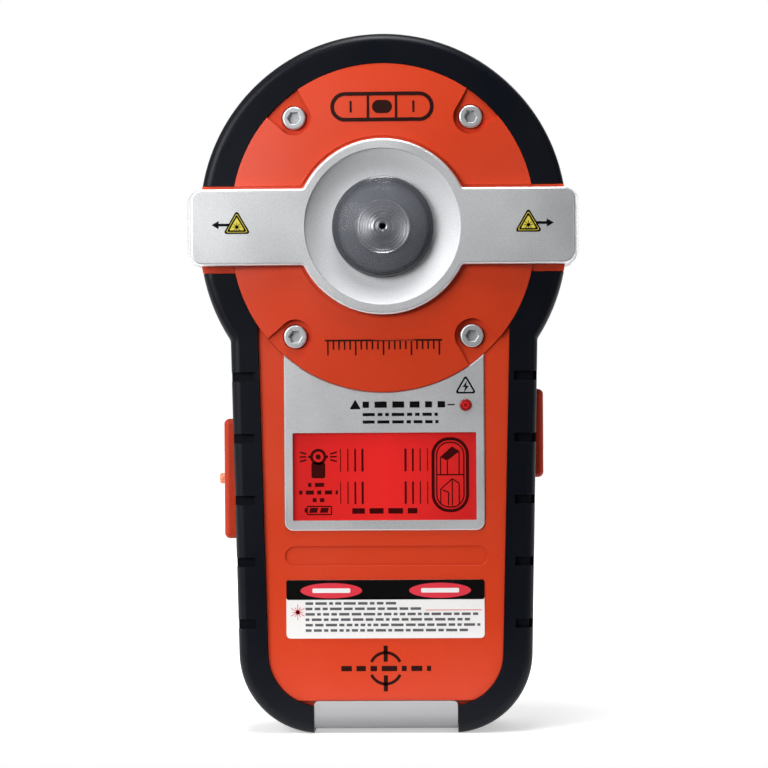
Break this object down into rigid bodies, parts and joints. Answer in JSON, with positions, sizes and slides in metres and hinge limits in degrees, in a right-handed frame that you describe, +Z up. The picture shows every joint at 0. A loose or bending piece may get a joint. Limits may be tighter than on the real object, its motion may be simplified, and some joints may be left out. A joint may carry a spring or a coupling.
{
  "type": "stud finder",
  "caption": "Hand-held stud finder with a display, side buttons and a self-levelling line laser in its round head.",
  "frame": {"origin": "bottom centre of the overall box, under the foot end that the finder stands on", "axes": "+Z up along the handle to the round head, +Y out of the face that slides on the wall, -Y out of the display, +X to the right as the display is read"},
  "size_m": [0.0952, 0.0404, 0.17],
  "materials": {
    "orange_plastic": "fine satin moulded",
    "soft_rubber": "soft matte",
    "silver_plastic": "satin metallic",
    "clear_plastic": "polished clear",
    "smoke_plastic": "polished smoke",
    "red_plastic": "polished",
    "dark_plastic": "fine texture",
    "turned_metal": "turned",
    "screw_steel": "bright",
    "label_film": "printed film",
    "lcd_glass": "polished",
    "white_plastic": "diffusing",
    "circuit_board": "solder mask",
    "chip_black": "moulded",
    "contact_metal": "plated",
    "cell_shell": "printed sleeve",
    "wire_cover": "smooth",
    "felt": "dense felt",
    "zinc": "die cast",
    "bearing_steel": "ground",
    "brass": "turned",
    "copper": "rolled"
  },
  "bodies": {
    "housing": {"front_housing": "orange_plastic", "head_plate": "orange_plastic", "top_bumper": "soft_rubber", "grip_left": "soft_rubber", "grip_right": "soft_rubber", "end_cap": "silver_plastic", "laser_band": "silver_plastic", "side_window_left": "clear_plastic", "side_window_right": "clear_plastic", "dish_ring": "silver_plastic", "bullseye_lens": "smoke_plastic", "lens_collar": "dark_plastic", "lens_core": "turned_metal", "front_screws": "screw_steel", "front_label": "label_film", "display_plate": "silver_plastic", "display_window": "red_plastic", "lcd_cell": "lcd_glass", "lcd_backlight": "white_plastic", "lcd_holder": "dark_plastic", "zebra_strips": "soft_rubber", "ac_lens": "red_plastic", "ac_led": "white_plastic", "main_board": "circuit_board", "board_screws": "screw_steel", "board_chips": "chip_black", "buzzer": "chip_black", "board_header": "chip_black", "sensor_board": "circuit_board", "sensor_switch": "chip_black", "laser_switch": "chip_black", "rear_cover": "dark_plastic", "battery_tray": "dark_plastic", "battery_plates": "contact_metal", "battery_springs": "contact_metal", "battery_leads": "wire_cover", "case_screws": "screw_steel", "wall_pads": "felt", "laser_chassis": "zinc", "front_bearing": "bearing_steel", "rear_bearing": "bearing_steel", "damper_magnet": "bearing_steel", "battery_cell_1": "cell_shell", "battery_cell_2": "cell_shell", "battery_cell_3": "cell_shell"},
    "pendulum": {"pendulum_frame": "zinc", "pivot_shaft": "bearing_steel", "laser_module_left": "brass", "laser_module_right": "brass", "line_lenses": "clear_plastic", "damper_wing": "copper", "balance_weight": "brass", "trim_screws": "screw_steel"},
    "sensor_button": {"sensor_button": "orange_plastic", "sensor_button_pip": "white_plastic", "sensor_switch_plunger": "white_plastic"},
    "laser_button": {"laser_button": "orange_plastic", "laser_switch_plunger": "white_plastic"},
    "battery_door": {"battery_door": "dark_plastic", "door_pad": "felt"}
  },
  "joints": [
    {"name": "sensor_button_press", "type": "slide", "parent": "housing", "child": "sensor_button", "axis": [1, 0, 0], "range_m": [0, 0.001], "stiffness_N_per_m": 1500, "springref_m": -0.0005},
    {"name": "laser_button_press", "type": "slide", "parent": "housing", "child": "laser_button", "axis": [-1, 0, 0], "range_m": [0, 0.001], "stiffness_N_per_m": 1500, "springref_m": -0.0005},
    {"name": "pendulum_swing", "type": "hinge", "parent": "housing", "child": "pendulum", "pos_m": [0, 0, 0.1229], "axis": [0, 1, 0], "range_deg": [-5, 5]},
    {"name": "battery_door_hinge", "type": "hinge", "parent": "housing", "child": "battery_door", "pos_m": [0, 0.0176, 0.06], "axis": [1, 0, 0], "range_deg": [0, 90]}
  ]
}
